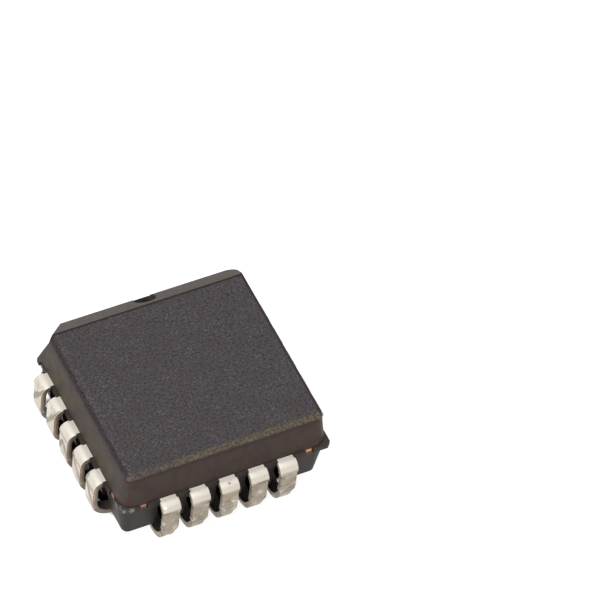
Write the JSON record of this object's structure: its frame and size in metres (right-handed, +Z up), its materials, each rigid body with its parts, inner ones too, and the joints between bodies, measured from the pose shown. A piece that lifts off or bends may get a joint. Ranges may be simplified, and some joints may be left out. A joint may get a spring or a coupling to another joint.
{
  "type": "display driver chip",
  "caption": "Square plastic chip package with a bevelled pin 1 edge and J-shaped leads, holding a driver die that switches the segments of a display.",
  "frame": {"origin": "middle of the package in plan, on the seating plane that the leads stand on", "axes": "+Z up out of the circuit board through the top face, +Y towards the bevelled pin 1 edge, +X along the front edge, to the right seen from the front with the bevel behind"},
  "size_m": [0.01, 0.01, 0.0045],
  "materials": {
    "moulding_compound": "matt silica-filled epoxy, charcoal with fine pale grains, smoother on the walls",
    "tinned_copper": "satin tin plating over copper, creased where it was bent",
    "bare_copper": "bare rolled copper alloy, cut edges dull",
    "silver_glue": "cured silver-filled epoxy",
    "silicon": "polished silicon with a passivated face",
    "gold_wire": "bright drawn gold"
  },
  "bodies": {
    "root": {"body": "moulding_compound", "die_paddle": "bare_copper", "die_attach": "silver_glue", "driver_die": "silicon", "lead_01": "tinned_copper", "lead_02": "tinned_copper", "lead_03": "tinned_copper", "lead_04": "tinned_copper", "lead_05": "tinned_copper", "lead_06": "tinned_copper", "lead_07": "tinned_copper", "lead_08": "tinned_copper", "lead_09": "tinned_copper", "lead_10": "tinned_copper", "lead_11": "tinned_copper", "lead_12": "tinned_copper", "lead_13": "tinned_copper", "lead_14": "tinned_copper", "lead_15": "tinned_copper", "lead_16": "tinned_copper", "lead_17": "tinned_copper", "lead_18": "tinned_copper", "lead_19": "tinned_copper", "lead_20": "tinned_copper", "bond_wire_01": "gold_wire", "bond_wire_02": "gold_wire", "bond_wire_03": "gold_wire", "bond_wire_04": "gold_wire", "bond_wire_05": "gold_wire", "bond_wire_06": "gold_wire", "bond_wire_07": "gold_wire", "bond_wire_08": "gold_wire", "bond_wire_09": "gold_wire", "bond_wire_10": "gold_wire", "bond_wire_11": "gold_wire", "bond_wire_12": "gold_wire", "bond_wire_13": "gold_wire", "bond_wire_14": "gold_wire", "bond_wire_15": "gold_wire", "bond_wire_16": "gold_wire", "bond_wire_17": "gold_wire", "bond_wire_18": "gold_wire", "bond_wire_19": "gold_wire", "bond_wire_20": "gold_wire"}
  },
  "joints": []
}
